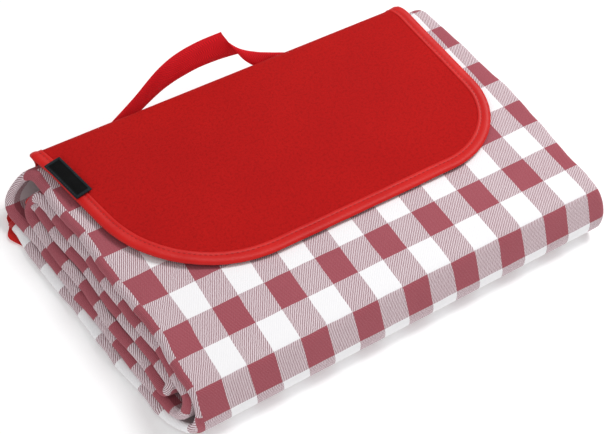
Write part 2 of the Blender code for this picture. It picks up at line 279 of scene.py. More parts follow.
def cover_cloth(name, low, high, pitch=0.9 * MM):
    """Coarse plain-woven polyester, with slubs, faint fading and a little sheen."""
    s = Shader(name, roughness=0.80, sheen=0.02, specular=0.08)
    whole, u, v = s.uv()
    warp = s.plus(u, s.fit(s.noise(whole, 160, 2), 0.0006, -0.0003))
    weft = s.plus(v, s.fit(s.noise(whole, 190, 2), 0.0006, -0.0003))
    threads = s.weave(warp, weft, pitch)
    slub = s.node("Mapping")
    s.link(whole, slub.inputs["Vector"])
    slub.inputs["Scale"].default_value = (1.0, 0.06, 1.0)
    streak = s.noise(slub.outputs[0], 900, 3, 0.6)
    blotch = s.noise(whole, 14, 3)
    grain = s.noise(whole, 1700, 2, 0.7)
    base = s.mix(s.step(blotch, 0.3, 0.7), low, high)
    dark = tuple(c * 0.62 for c in low)
    worn = s.tint(base, dark, threads, 0.62, 0.25, 0.42)
    bright = tuple(min(c * 1.35, 1) for c in high)
    worn = s.tint(worn, bright, streak, 0.55, 0.8, 0.25)
    worn = s.tint(worn, dark, grain, 0.55, 0.85, 0.30)
    coarse = s.noise(whole, 480, 3, 0.75)
    worn = s.tint(worn, dark, coarse, 0.46, 0.64, 0.46)
    height = s.plus(threads, s.times(grain, 0.5))
    height = s.plus(height, coarse)
    rough = s.fit(blotch, 0.14, 0.66)
    return s.finish(worn, height, depth=0.26 * MM, strength=0.9, roughness=rough)


def satin_tape(name, low, high):
    """Ribbed binding tape: shiny, with fine ribs across it and soft colour drift along it."""
    s = Shader(name, roughness=0.42, sheen=0.03, specular=0.28)
    whole, u, _ = s.uv()
    ribs = s.wave(s.plus(u, s.times(s.noise(whole, 240, 2), 0.0008)), 0.55 * MM)
    drift = s.noise(whole, 22, 3)
    grain = s.noise(whole, 1300, 2, 0.7)
    base = s.mix(s.step(drift, 0.3, 0.7), low, high)
    colour = s.mix(s.times(ribs, 0.22), base, tuple(c * 0.6 for c in low))
    height = s.plus(ribs, s.times(grain, 0.4))
    rough = s.fit(drift, 0.18, 0.34)
    return s.finish(colour, height, depth=0.09 * MM, strength=0.7, roughness=rough)


def webbing():
    """Flat strap webbing: a herringbone of coarse yarns, rubbed paler on its ridges."""
    s = Shader("strap_webbing", roughness=0.70, sheen=0.02, specular=0.12)
    whole, u, v = s.uv()
    folded = s.math("PINGPONG", v, 3.0 * MM)
    chevron = s.wave(s.plus(u, folded), 1.7 * MM)
    yarn = s.wave(v, 0.75 * MM)
    drift = s.noise(whole, 30, 3)
    grain = s.noise(whole, 1500, 2, 0.7)
    base = s.mix(s.step(drift, 0.3, 0.7), (0.80, 0.010, 0.018), (0.90, 0.016, 0.026))
    colour = s.tint(base, (0.27, 0.008, 0.012), chevron, 0.55, 0.15, 0.45)
    colour = s.tint(colour, (0.70, 0.08, 0.08), grain, 0.5, 0.8, 0.25)
    height = s.plus(chevron, s.times(yarn, 0.6))
    return s.finish(colour, height, depth=0.16 * MM, strength=0.8)


def thread(name, low, high):
    """Two-ply sewing thread: twisted, with a slight sheen."""
    s = Shader(name, roughness=0.5, sheen=0.1, specular=0.4)
    whole, split = s.place()
    twist = s.wave(s.plus(s.plus(split[0], split[1]), split[2]), 0.55 * MM)
    drift = s.noise(whole, 120, 2)
    colour = s.mix(s.times(twist, 0.5), s.mix(drift, low, high), tuple(c * 0.5 for c in low))
    return s.finish(colour, twist, depth=0.1 * MM, strength=0.7)


def fastener(name, pitch, low, high, depth):
    """Hook tape or loop tape: rows of stiff hooks, or a felt of tangled loops."""
    s = Shader(name, roughness=0.9, sheen=0.3, specular=0.2)
    whole, split = s.place()
    rows = s.times(s.wave(split[0], pitch), s.wave(split[1], pitch))
    fuzz = s.noise(whole, 1400, 4, 0.75)
    height = s.plus(rows, fuzz)
    colour = s.mix(s.step(height, 0.4, 1.3), low, high)
    return s.finish(colour, height, depth=depth, strength=1.0)


def label_cloth(name, low, high):
    """A woven satin label: dense fine weft lines and a faint rub."""
    s = Shader(name, roughness=0.6, sheen=0.0, specular=0.10)
    whole, u, v = s.uv()
    lines = s.wave(v, 0.42 * MM)
    cross = s.wave(u, 0.6 * MM)
    rub = s.noise(whole, 130, 4, 0.6)
    colour = s.mix(s.step(rub, 0.35, 0.75), low, high)
    colour = s.mix(s.times(lines, 0.35), colour, tuple(c * 0.45 for c in low))
    height = s.plus(lines, s.times(cross, 0.4))
    rough = s.fit(rub, 0.25, 0.40)
    return s.finish(colour, height, depth=0.07 * MM, strength=0.7, roughness=rough)


def floor_paint():
    """The studio's pale floor, which glows a little so that it stays near white."""
    s = Shader("studio_floor", roughness=0.9, specular=0.1)
    whole, _ = s.place()
    colour = s.mix(s.noise(whole, 3, 2), (0.90, 0.90, 0.905), (0.93, 0.93, 0.935))
    s.shader.inputs["Emission Color"].default_value = (1, 1, 1, 1)
    s.shader.inputs["Emission Strength"].default_value = 0.22
    return s.finish(colour)


# ---- Mesh helpers ----
def mesh_piece(name, points, faces, materials, uvs=None, chosen=None, crease=None):
    """A smooth-shaded mesh. uvs has one pair for each corner of each face, and chosen one material
    index for each face. Edges that bend more than crease degrees stay sharp."""
    mesh = bpy.data.meshes.new(name)
    mesh.from_pydata([tuple(map(float, p)) for p in points], [], [tuple(f) for f in faces])
    for item in materials:
        mesh.materials.append(item)
    if chosen is not None:
        mesh.polygons.foreach_set("material_index", np.asarray(chosen, np.int32))
    if uvs is not None:
        layer = mesh.uv_layers.new(name="Cloth")
        layer.data.foreach_set("uv", np.asarray(uvs, np.float32).ravel())
    mesh.validate()
    mesh.shade_smooth()
    if crease is not None:
        mesh.set_sharp_from_angle(angle=math.radians(crease))
    made = bpy.data.objects.new(name, mesh)
    bpy.context.scene.collection.objects.link(made)
    return made


def lengths(path):
    """How far along a path each of its points lies."""
    return np.concatenate(([0], np.cumsum(np.linalg.norm(np.diff(path, axis=0), axis=1))))


def unit(vectors):
    return vectors / np.linalg.norm(vectors, axis=-1, keepdims=True)


def wobble(seed, *terms):
    """A smooth repeatable noise between about -1 and 1: sines of each length over its wavelength."""
    rng = np.random.default_rng(seed)
    total, weight = 0.0, 0.0
    for octave in range(3):
        share = 0.6**octave
        turned = rng.uniform(0, math.tau)
        for value, wavelength in terms:
            stretch = rng.uniform(0.8, 1.25) * 1.9**octave
            turned = turned + np.asarray(value) / wavelength * stretch * math.tau * rng.choice((-1, 1))
        total = total + share * np.sin(turned)
        weight += share
    return total / weight


def smooth(value, low, high):
    """0 below low and 1 above high, with a soft rise between them."""
    t = np.clip((np.asarray(value, float) - low) / (high - low), 0, 1)
    return t * t * (3 - 2 * t)


# ---- The folded blanket ----
CLOTH_T = 0.95 * MM
FRONT_SQUARENESS = 2.9
BACK_SQUARENESS = 2.5
# The front of the packet from underneath to the top: share of the fold, y and z in mm. The face
# leans out from its top edge to a crease at half height, and tucks under below it.
FRONT_PROFILE = (
    (0.00, -103.1, 1.2), (0.14, -111.0, 1.25), (0.23, -117.2, 2.3), (0.31, -121.6, 5.6),
    (0.40, -124.3, 11.0), (0.48, -124.8, 17.0), (0.545, -123.4, 21.8), (0.62, -120.8, 27.2),
    (0.70, -117.9, 33.5), (0.78, -115.0, 39.4), (0.84, -113.0, 42.9), (0.90, -110.2, 44.6),
    (1.00, -103.1, 45.0),
)  # fmt: skip
# The pleats' left end, as y and x in mm from the front to the back: along the top of the packet, and
# along its bottom, which sticks out further and draws in again at the front corner
LEFT_TOP = (
    (-125, -154.9), (-88, -154.8), (-63, -155.4), (-38, -158.2), (-12, -161.8), (39, -167.6),
    (95, -174.6), (124, -178),
)  # fmt: skip
LEFT_BOTTOM = (
    (-125, -156), (-118, -163.5), (-109, -170), (-100, -174.5), (-91, -177), (-68, -180.5),
    (-48, -184.5), (-24, -188.5), (2, -193), (27, -196.5), (53, -201), (86, -206), (124, -209),
)  # fmt: skip
BACK_BULGE = 5.5 * MM  # and how far the back corner stands out at mid height
# How far each front fold, and each back fold, draws back inside the outer one at the left end
FRONT_RECESS = (0.0, 4 * MM, 16 * MM)
BACK_RECESS = (2 * MM, 15 * MM)
RECESS_REACH = 48 * MM  # and how soon that fades out inside the left end
INNER_GAP = 4 * MM  # how far from the back folds the roll's inner end stops
# Rows across a panel, across the top one, and round each front and each back fold, outermost first
PANEL_ROWS = 18
TOP_ROWS = 30
FOLD_ROWS = {"front": (22, 14, 9), "back": (16, 10)}
BAND_SHIFT = (1.0, -0.6, 0.6, -0.8, 0.9, -0.9)  # mm each panel's left end stands out or in


def left_end(y, z):
    """Where the pleats end on the left."""
    down = np.clip((HIGH_Z - z) / (HIGH_Z - LOW_Z), 0, 1)
    y_top, x_top = np.array(LEFT_TOP).T * MM
    y_bottom, x_bottom = np.array(LEFT_BOTTOM).T * MM
    top, bottom = np.interp(y, y_top, x_top), np.interp(y, y_bottom, x_bottom)
    bulge = BACK_BULGE * np.exp(-(((y - BACK_Y) / (20 * MM)) ** 2)) * 4 * down * (1 - down)
    return top + (bottom - top) * down - bulge


def right_end(y, z):
    """Where they end on the right: bulging at mid depth, and with a nose at the front corner."""
    depth = 2 * (y - FRONT_Y) / (BACK_Y - FRONT_Y) - 1
    down = np.clip((HIGH_Z - z) / (HIGH_Z - LOW_Z), 0, 1)
    near_front = np.exp(-(((y - FRONT_Y - 12 * MM) / (42 * MM)) ** 2))
    nose = 7 * MM * near_front * 4 * down * (1 - down)
    return RIGHT_X + 3 * MM - 9 * MM * depth**2 + nose


def superellipse(centre, radius, squareness, angle):
    """A point of a rounded square: the higher its squareness, the sharper its corners."""
    cos, sin = math.cos(angle), math.sin(angle)
    radius = radius * (abs(cos) ** squareness + abs(sin) ** squareness) ** (-1 / squareness)
    return centre[0] + cos * radius, centre[1] + sin * radius


class Row:
    """One line across the rolled strip: a place in (y, z) for each offset outwards from the strip's
    middle, which may shift with how far inside the left end a point lies."""

    def __init__(self, panel, share, fold=None, turn=None):
        self.panel, self.share, self.fold, self.turn = panel, share, fold, turn

    def place(self, offset, inside):
        """y and z of points at these offsets and distances inside the left end."""
        reach = np.exp(-((np.maximum(inside, 0) / RECESS_REACH) ** 2))
        if self.fold == "front":
            return self.front(offset, FRONT_RECESS[self.turn] * reach)
        if self.fold == "back":
            recess = BACK_RECESS[self.turn] * reach
            radius = (2.0 - self.turn) * STRIP + offset
            angle = math.pi / 2 - self.share * math.pi
            y, z = superellipse(BACK_CENTRE, radius, BACK_SQUARENESS, angle)
            return y - recess, z
        forwards = self.panel % 2 == 0  # panels 0, 2 and 4 run from the back to the front
        turn = self.panel // 2
        front = FRONT_CENTRE[0] + FRONT_RECESS[turn] * reach
        if forwards:
            start, end, slot = self.back_end(turn - 1, reach), front, turn
        else:
            start, end, slot = front, self.back_end(turn, reach), PANELS - 1 - turn
        y = start + (end - start) * self.share
        middle = LOW_Z + (slot + 0.5) * STRIP
        return y, middle + offset * (-1 if forwards else 1)

    @staticmethod
    def back_end(turn, reach):
        """y of the end of a panel at its back fold, or of the roll's outer or inner end."""
        if turn < 0:
            return BACK_CENTRE[0]
        if turn >= len(BACK_RECESS):
            return BACK_CENTRE[0] - INNER_GAP
        return BACK_CENTRE[0] - BACK_RECESS[turn] * reach

    def front(self, offset, recess):
        """y and z on a front fold: the outermost one's outer side follows the profile."""
        radius = (2.5 - self.turn) * STRIP + offset
        angle = -math.pi / 2 - self.share * math.pi
        y, z = superellipse(FRONT_CENTRE, radius, FRONT_SQUARENESS, angle)
        if self.turn == 0:
            share, y_out, z_out = np.array(FRONT_PROFILE).T
            plain_y, plain_z = superellipse(FRONT_CENTRE, 3 * STRIP, FRONT_SQUARENESS, angle)
            weight = np.clip(offset / STRIP + 0.5, 0, 1)
            y = y + (np.interp(self.share, share, y_out * MM) - plain_y) * weight
            z = z + (np.interp(self.share, share, z_out * MM) - plain_z) * weight
        return y + recess, z


def rows_of_roll():
    """The rows from the strip's outer end, under the packet, round to its inner end."""
    rows = []
    for panel in range(PANELS):
        steps = TOP_ROWS if panel == 1 else PANEL_ROWS
        rows += [Row(panel, step / steps) for step in range(min(panel, 1), steps)]
        fold, turn = ("back" if panel % 2 else "front"), panel // 2
        if turn < len(FOLD_ROWS[fold]):
            count = FOLD_ROWS[fold][turn]
            rows += [Row(panel, step / count, fold, turn) for step in range(count + 1)]
    rows.append(Row(PANELS - 1, 1.0))
    return rows


LOOP_PHASE = ((-1, 5.35), (1, 1.11), (-1, -0.02), (1, 1.78), (-1, -0.23), (1, 0.01))
LOOP_COLUMN = (-2.45, -1.52, -1.50, -1.45, -1.55, -1.50)


def top_phase(y):
    """Checks from the checks' origin back to y, on the top of the packet."""
    return (y - CHECK_ORIGIN[1]) / CHECK_Y


def phases(rows):
    """For each row: the weft phase of the outer cloth, and of the pleats' left ends, and the warp
    phase at the pleats' left ends, all in checks."""
    points = []
    for row in rows:
        y, z = row.place(np.array([STRIP / 2]), np.array([1.0]))
        points.append((float(np.ravel(y)[0]), float(np.ravel(z)[0])))
    points = np.array(points)
    arc = lengths(points)
    top = next(i for i, row in enumerate(rows) if row.panel == 1 and row.fold is None)
    outer = top_phase(points[top, 0]) + (arc - arc[top]) / CHECK_Y
    loop = np.zeros(len(rows))
    column = np.zeros(len(rows))
    known = [i for i, row in enumerate(rows) if row.fold is None]
    for i in known:
        way, phase = LOOP_PHASE[rows[i].panel]
        loop[i] = 1 - (way * (1 - top_phase(points[i, 0])) + phase)
        column[i] = LOOP_COLUMN[rows[i].panel]
    for a, b in zip(known, known[1:]):
        if b == a + 1:
            continue
        wanted = loop[a] + (arc[b] - arc[a]) / CHECK_Y
        loop[[i for i in known if i >= b]] += 2 * round((wanted - loop[b]) / 2)
        for i in range(a + 1, b):
            t = (arc[i] - arc[a]) / (arc[b] - arc[a])
            loop[i] = loop[a] + (loop[b] - loop[a]) * t
            column[i] = column[a] + (column[b] - column[a]) * t
    return outer, loop, column


# Kinds of station: on the outer ply, round its fold at the left end, and on the plies inside
OUTER_PLY, LEFT_FOLD, INNER_PLY = range(3)


def stations():
    """The pleats' path across the strip. Each station lies at a share of the way from one place to
    another, each an end and a distance inwards from it, then has a bulge along X, an offset from the
    strip's middle and a kind."""
    made = []

    def run(kind, offset, start, end, count):
        """A straight ply."""
        made.extend((start, end, step / count, 0, offset, kind) for step in range(count))

    def loop(kind, place, middle, radius, start, end, count, fat=1.0):
        """A fold from a ply to the next one, or the next but some."""
        for step in range(count + 1):
            angle = math.radians(start + (end - start) * step / count)
            bulge = radius * math.cos(angle) * fat
            made.append((place, place, 0, bulge, middle + radius * math.sin(angle), kind))

    big, mid, small = 2.5 * PLY, 1.5 * PLY, 0.5 * PLY
    left, inner_left = ("left", big + 1.2 * MM), ("left", big + 0.5 * MM)
    right, inner_right = ("right", 16 * MM), ("right", 6 * MM)
    run(OUTER_PLY, -big, ("right", 13 * MM), ("right", big), 2)
    loop(OUTER_PLY, ("right", big), 0, big, -90, 90, 8, 1.15)
    run(OUTER_PLY, big, ("right", big + 0.6 * MM), left, 44)
    loop(LEFT_FOLD, ("left", big), 0, big, 90, 270, LEFT_STEPS, 1.1)
    run(INNER_PLY, -big, left, right, 8)
    loop(INNER_PLY, ("right", 15 * MM), -2 * PLY, small, -90, 90, 3)
    run(INNER_PLY, -mid, right, inner_left, 8)
    loop(INNER_PLY, ("left", big), 0, mid, 270, 90, 7, 1.3)
    run(INNER_PLY, mid, inner_left, inner_right, 8)
    loop(INNER_PLY, ("right", 5 * MM), PLY, small, 90, -90, 3)
    run(INNER_PLY, small, inner_right, inner_left, 8)
    loop(INNER_PLY, ("left", big), 0, small, 90, 270, 4, 1.2)
    run(INNER_PLY, -small, inner_left, inner_right, 8)
    made.append((inner_right, inner_right, 0, 0, -small, INNER_PLY))
    return made


def station_points(path, left, right):
    """x and offset of every station, for a row with these two ends."""
    xs = []
    for *places, share, bulge, _, _ in path:
        start, end = (left + far if side == "left" else right - far for side, far in places)
        xs.append(start + (end - start) * share + bulge)
    return np.array(xs), np.array([item[4] for item in path])


LEFT_STEPS = 14  # steps round the outer ply's fold at the left end
FOLD_CHECKS = 2  # whole checks from the checks' origin to the fold at the left, which they follow
LIP = 45 * MM  # how far inside the left end the cloth's reverse is faced with gingham too
LIP_STATIONS = 5  # and how many stations before the left fold that begins
UNDER = 11  # stations before the outer ply's straight run: its turned-under edge
# The third material is gingham darkened as painted shade, for the hollows at the pleats' left end and
# the cloth's reverse there
CLOTH, FILM, SHADED_GINGHAM = range(3)  # the blanket's materials


def lay_rows(rows, path, first):
    """The blanket's outer and inner points, and the cloth's two sets of UVs, row by row. The first
    set runs over the outer ply, and the second round the left fold and the plies inside. Returned
    with them is how far inside the left end each point lies."""
    outer, loop, column = phases(rows)
    grids, uvs, inside = {1: [], -1: []}, ([], []), []
    for index, row in enumerate(rows):
        y_mid, z_mid = (float(np.ravel(c)[0]) for c in row.place(np.array([0.0]), np.array([0.0])))
        panel_noise = wobble(11 + row.panel, (y_mid, 95 * MM), (z_mid, 60 * MM))
        shift = BAND_SHIFT[row.panel]
        if row.fold:
            after = BAND_SHIFT[min(row.panel + 1, PANELS - 1)]
            shift = shift + (after - shift) * row.share
        left = float(left_end(y_mid, z_mid)) + (1.3 * panel_noise - shift) * MM
        right_noise = wobble(31 + row.panel, (y_mid, 110 * MM))
        right = float(right_end(y_mid, z_mid)) + 1.2 * MM * right_noise
        xs, offsets = station_points(path, left, right)
        tangent = unit(np.gradient(np.stack([xs, offsets], 1), axis=0))
        normal = np.stack([tangent[:, 1], -tangent[:, 0]], 1)
        arc = np.concatenate(([0], np.cumsum(np.hypot(np.diff(xs), np.diff(offsets)))))
        for side in (1, -1):
            x = xs + normal[:, 0] * side * CLOTH_T / 2
            o = offsets + normal[:, 1] * side * CLOTH_T / 2
            y, z = row.place(o, x - left)
            near = np.exp(-((x - left) / (14 * MM)) ** 2)
            lean = left_end(y, z) - left_end(y_mid, z_mid)
            x = x + np.exp(-((x - left) / (26 * MM)) ** 2) * lean
            z = z + near * 0.55 * MM * wobble(51 + row.panel, (y_mid, 70 * MM))
            if row.panel == 1:
                top = smooth(offsets, 1.6 * PLY, 2.4 * PLY) * math.sin(math.pi * row.share)
                dent = 0.35 * wobble(71, (xs, 120 * MM), (y_mid, 150 * MM))
                dent = dent + 0.25 * wobble(72, (xs, 60 * MM), (y_mid, 90 * MM))
                z = z + top * (dent - 0.35) * MM
            grids[side].append(np.stack(np.broadcast_arrays(x, y, z), 1))
        inside.append(xs - left)
        # Across the checks over the outer ply, from their origin and on round both ends. Left of the
        # origin they stretch so that whole checks reach the crease below the top ply's edge.
        over = xs - CHECK_ORIGIN[0]
        over[:UNDER] = over[UNDER] + arc[UNDER] - arc[:UNDER]
        over[first:] = over[first] - (arc[first:] - arc[first])
        over = np.where(over < 0, over * FOLD_CHECKS * CHECK_X / -over[first + 1], over)
        # Across the checks from the middle of the left fold
        along = column[index] * CHECK_X - (arc - arc[first + LEFT_STEPS // 2])
        for across, phase, made in zip((over, along), (outer[index], loop[index]), uvs):
            made.append(np.stack([across, np.full(len(path), phase * CHECK_Y)], 1))
    return grids, uvs, inside


def make_blanket():
    """The blanket as one closed sheet, and its outer and inner points as grids."""
    rows, path = rows_of_roll(), stations()
    count, shell = len(path), len(rows) * len(path)
    first = [item[5] for item in path].index(LEFT_FOLD)
    grids, uvs, inside = lay_rows(rows, path, first)
    faces, corners, chosen = [], [], []

    def finish_of(side, r, c):
        # Inside the hollows near the left end, the cloth and the reverse's lip take gingham, darkened
        # there as painted shade
        if side == 1:
            inwards = c >= first + LEFT_STEPS and inside[r][c] < 2 * LIP
            return SHADED_GINGHAM if inwards else CLOTH
        return SHADED_GINGHAM if c >= first - LIP_STATIONS and inside[r][c] < LIP else FILM

    def quad(side, r, c):
        a = (0 if side == 1 else shell) + r * count + c
        b = a + count
        ring = (a, a + 1, b + 1, b)
        used = uvs[0 if c <= first else 1]  # they change at the crease below the top ply's edge
        uv = [used[r][c], used[r][c + 1], used[r + 1][c + 1], used[r + 1][c]]
        faces.append(ring[::side])
        corners.extend(uv[::side])
        chosen.append(finish_of(side, r, c))

    def rim(r, c, step, turned):
        a, b = r * count + c, shell + r * count + c
        faces.append((a, b, b + step, a + step) if turned else (a, a + step, b + step, b))
        corners.extend([uvs[1][r][c]] * 4)
        chosen.append(FILM)

    last_row, last = len(rows) - 1, count - 1
    for side in (1, -1):
        for r in range(last_row):
            for c in range(last):
                quad(side, r, c)
    for r in (0, last_row):
        for c in range(last):
            rim(r, c, 1, r == 0)
    for c in (0, last):
        for r in range(last_row):
            rim(r, c, count, c == last)
    points = np.concatenate(grids[1] + grids[-1])
    # The third finish is gingham darkened by 0.62 towards deep red-brown: painted shade for the
    # hollows at the left end
    finishes = [gingham("gingham_cloth"), film(), gingham("gingham_painted_shade", 0.62)]
    made = mesh_piece("picnic_blanket", points, faces, finishes, corners, chosen)
    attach(made, "blanket")
    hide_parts("face_cloth", "wadding", "backing_film")
    return made, np.array(grids[1]), np.array(grids[-1])


blanket, face_grid, back_grid = make_blanket()

# ---- The cover ----
SPINE_MIDDLE = (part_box("spine_panel")[0].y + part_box("spine_panel")[1].y) / 2
SPINE_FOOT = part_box("spine_panel")[0].z
FLAP_MIDDLE = (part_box("flap_panel")[0].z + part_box("flap_panel")[1].z) / 2
FLAP_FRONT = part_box("flap_binding")[0].y
TURN = 6.4 * MM  # radius of the cover's turn from the spine to the flap
RISE = FLAP_MIDDLE - TURN - SPINE_FOOT  # up the spine to that turn
OVER = RISE + TURN * math.pi / 2  # and to where the flap lies flat
PANEL_T = 0.8 * MM
LINING_T = 0.5 * MM


def cover_place(x, s, out):
    """The point of the cover at x, at a distance s up the spine and forwards over the flap, and at
    an offset outwards from its panel's middle."""
    x, s, out = (np.asarray(item, float) for item in (x, s, out))
    s = np.maximum(s, 0)
    turned = np.clip((s - RISE) / TURN, 0, math.pi / 2)
    ahead = np.maximum(s - OVER, 0)
    y = SPINE_MIDDLE - TURN + (TURN + out) * np.cos(turned) - ahead
    z = SPINE_FOOT + np.minimum(s, RISE) + (TURN + out) * np.sin(turned)
    flat = smooth(s, RISE, OVER + 25 * MM)
    crown = 0.9 * np.cos(np.clip(x / (190 * MM), -1, 1) * math.pi / 2) * smooth(ahead, 0, 60 * MM)
    crown = crown * (1 - smooth(ahead, 110 * MM, 168 * MM))
    droop = -1.3 * smooth(ahead, 120 * MM, 168 * MM) - 0.9 * smooth(np.abs(x), 110 * MM, 160 * MM)
    soft = 0.32 * wobble(91, (x, 150 * MM), (ahead, 210 * MM))
    soft = soft + 0.14 * wobble(92, (x, 64 * MM), (ahead, 80 * MM))
    z = z + flat * (crown + droop + soft) * MM
    belly = np.sin(np.clip(s / RISE, 0, 1) * math.pi)
    y = y + belly * (0.5 * wobble(93, (x, 130 * MM), (s, 60 * MM)) + 0.2) * MM
    return np.stack(np.broadcast_arrays(x, y, z), -1)


def rounded(corners, steps):
    """An open path through corners of (x, s, radius), with arcs of these radii."""
    path = [np.array(corners[0][:2], float)]
    for before, corner, after in zip(corners, corners[1:], corners[2:]):
        here, radius = Vector(corner[:2]), corner[2]
        back = (Vector(before[:2]) - here).normalized()
        ahead = (Vector(after[:2]) - here).normalized()
        half = back.angle(ahead) / 2
        if radius == 0 or abs(half - math.pi / 2) < 1e-4:
            path.append(np.array(here))
            continue
        centre = here + (back + ahead).normalized() * radius / math.sin(half)
        start = here + back * radius / math.tan(half) - centre
        way = 1 if back.x * ahead.y - back.y * ahead.x < 0 else -1
        for step in range(steps + 1):
            turned = Matrix.Rotation(way * (math.pi - 2 * half) * step / steps, 2) @ start
            path.append(np.array(centre + turned))
    path.append(np.array(corners[-1][:2], float))
    return np.array(path)


def resample(path, spacing):
    """The same path with points at an even spacing near this one."""
    path = np.asarray(path, float)
    arc = lengths(path)
    count = max(int(round(arc[-1] / spacing)), 2)
    wanted = np.linspace(0, arc[-1], count + 1)
    return np.stack([np.interp(wanted, arc, column) for column in path.T], 1)


def inset(path, distance):
    """An open path moved sideways: to its left, or by a negative distance to its right."""
    along = unit(np.gradient(path, axis=0))
    return path + np.stack([-along[:, 1], along[:, 0]], 1) * distance


def cover_outline():
    """The cover's edge in (x, s), from the spine's left foot round the flap to its right foot. It
    runs clockwise seen from outside, so the cloth is on its right."""
    front = OVER + SPINE_MIDDLE - TURN - FLAP_FRONT
    corners = [
        (-188 * MM, 0, 0),
        (-171 * MM, 30 * MM, 12 * MM),
        (-174.5 * MM, 48 * MM, 14 * MM),
        (-167.5 * MM, OVER + 20 * MM, 40 * MM),
        (-136 * MM, front, 105 * MM),
        (159 * MM, front, 65 * MM),
        (157 * MM, OVER + 4 * MM, 30 * MM),
        (151 * MM, 36 * MM, 16 * MM),
        (128 * MM, 0, 0),
    ]
    return resample(rounded(corners, 14), 3.2 * MM)


def filled(path, spacing):
    """Points and triangles that fill a closed path, with a grid of points inside."""
    keep_off = 0.45 * spacing
    low, high = path.min(0), path.max(0)
    xs = np.arange(low[0] + spacing, high[0], spacing)
    rows = list(np.arange(spacing, RISE, spacing)) + list(np.linspace(RISE, OVER, 9))
    rows += list(np.arange(OVER + spacing, high[1], spacing))
    start, end = path, np.roll(path, -1, axis=0)
    inside = []
    for s in rows:
        crossing = (start[:, 1] > s) != (end[:, 1] > s)
        a, b = start[crossing], end[crossing]
        cut = np.sort(a[:, 0] + (s - a[:, 1]) / (b[:, 1] - a[:, 1]) * (b[:, 0] - a[:, 0]))
        if len(cut) < 2:
            continue
        for x in xs:
            if cut[0] + keep_off < x < cut[-1] - keep_off and s < high[1] - keep_off:
                inside.append((x, s))
    points = [Vector(p) for p in path] + [Vector(p) for p in inside]
    edges = [(i, (i + 1) % len(path)) for i in range(len(path))]
    verts, _, faces, *_ = delaunay_2d_cdt(points, edges, [], 1, 1e-7)
    return np.array(verts), [tuple(f) for f in faces]


def slab(name, finishes, points, flat, rings, rim, picked=None, crease=60):
    """A closed slab between two sheets of points, the outer sheet's first. rings are the outer
    sheet's faces and rim its edge, as pairs of points. picked has a material for each of the slab's
    faces in turn, where it has more than one."""
    total = len(points) // 2
    faces, corners = [], []
    for ring in rings:
        faces += [ring, tuple(k + total for k in ring[::-1])]
        corners += [flat[k] for k in ring] + [flat[k] for k in ring[::-1]]
    for a, b in rim:
        faces.append((b, a, a + total, b + total))
        corners += [flat[b], flat[a], flat[a], flat[b]]
    return mesh_piece(name, points, faces, finishes, corners, picked, crease)


def cover_layer(name, finish, edge, low, high, spacing):
    """A closed sheet of the cover between two offsets."""
    flat, triangles = filled(inset(cover_outline(), -edge), spacing)
    sheets = [cover_place(flat[:, 0], flat[:, 1], out) for out in (high, low)]
    edges = dict.fromkeys((a, b) for tri in triangles for a, b in zip(tri, tri[1:] + tri[:1]))
    rim = [(a, b) for a, b in edges if (b, a) not in edges]
    # Positive where the triangles run anticlockwise in (x, s), as the outer side's have to
    area = sum(flat[a][0] * flat[b][1] - flat[b][0] * flat[a][1] for a, b in rim)
    if area < 0:
        triangles = [tri[::-1] for tri in triangles]
        rim = [(b, a) for a, b in rim]
    return slab(name, [finish], np.concatenate(sheets), flat, triangles, rim)


TAPE_SECTION = (  # inset from the edge and offset from the panel's middle, in mm
    (10.2, 0.60), (9.9, 0.95), (9.0, 1.15), (7.9, 1.02), (7.3, 0.88), (6.6, 1.12), (5.0, 1.55),
    (3.2, 1.68), (1.6, 1.42), (0.5, 0.85), (0.0, 0.05), (0.4, -0.75), (1.5, -1.15), (3.5, -1.30),
    (6.5, -1.20), (9.4, -1.12), (10.0, -0.85), (9.0, -0.60), (2.0, -0.55), (2.0, 0.50),
)  # fmt: skip


def sweep_section(name, finish, path, section, place):
    """A tube whose section, in (inset, offset) mm, runs along an open path in a flat plan."""
    rings = []
    for distance, out in section:
        moved = inset(path, -distance * MM)
        rings.append(place(moved[:, 0], moved[:, 1], np.full(len(path), out * MM)))
    return tube(name, finish, np.stack(rings, 1))


def tube_faces(count, ring, base=0):
    """The faces round a row of rings of points, without its caps, and the two caps."""
    sides = []
    for i in range(count - 1):
        for j in range(ring):
            a, k = base + i * ring, (j + 1) % ring
            sides.append((a + j, a + k, a + ring + k, a + ring + j))
    last = base + (count - 1) * ring
    return sides, [[base + j for j in range(ring)][::-1], [last + j for j in range(ring)]]


def tube(name, finish, rings, crease=50):
    """A closed tube through rings of points, capped at both ends. Its UVs are metres of cloth."""
    count, ring = rings.shape[:2]
    along = lengths(rings[:, 0])
    around = lengths(np.concatenate([rings[0], rings[0][:1]]))
    sides, caps = tube_faces(count, ring)
    corners = []
    for i in range(count - 1):
        for j in range(ring):
            near, far = along[i], along[i + 1]
            here, there = around[j], around[j + 1]
            corners += [(near, here), (near, there), (far, there), (far, here)]
    for cap in caps:
        corners += [(along[k // ring], around[k % ring]) for k in cap]
    points = rings.reshape(-1, 3)
    made = mesh_piece(name, points, sides + caps, [finish], corners, crease=crease)
    outwards(made)
    return made


